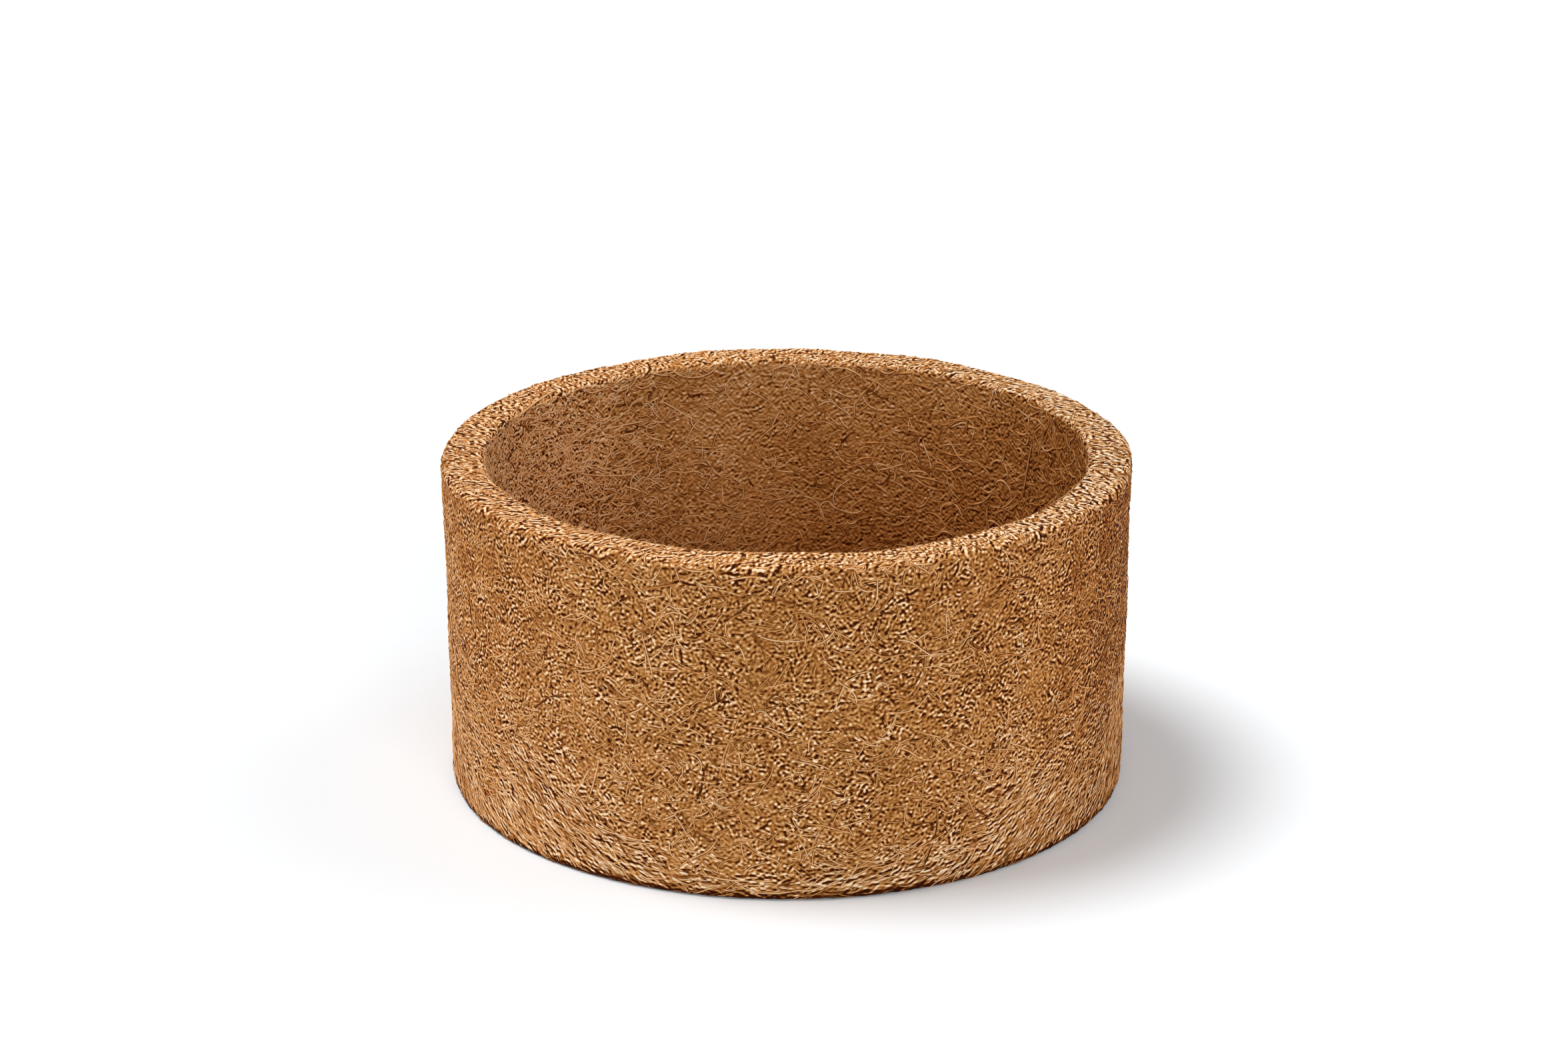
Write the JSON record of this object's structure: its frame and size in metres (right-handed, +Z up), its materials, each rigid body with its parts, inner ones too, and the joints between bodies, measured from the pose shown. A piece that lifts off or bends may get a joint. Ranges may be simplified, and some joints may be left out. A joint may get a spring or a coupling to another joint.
{
  "type": "coir pot",
  "caption": "Low round plant pot of matted coconut-fibre felt, laid up in bonded plies with a thick wall, a flat rim and a flat floor, for planting in or for lining.",
  "frame": {"origin": "middle of the underside, on the surface that the pot stands on", "axes": "+Z up along the pot's axis; -Y is the side that the picture shows, with +X to its right"},
  "size_m": [0.203, 0.203, 0.0993],
  "materials": {
    "outer_felt": "matted coconut fibre, golden brown, with short curly strands and dark gaps",
    "inner_felt": "matted coconut fibre, darker brown, with longer strands that lie mostly round the wall",
    "latex": "cured natural latex, cream, slightly glossy"
  },
  "bodies": {
    "root": {"outer_wall_strip": "outer_felt", "inner_wall_strip": "inner_felt", "base_disc": "outer_felt", "floor_disc": "inner_felt", "wall_latex_coat": "latex", "base_latex_coat": "latex", "outer_seam_latex": "latex", "inner_seam_latex": "latex"}
  },
  "joints": []
}
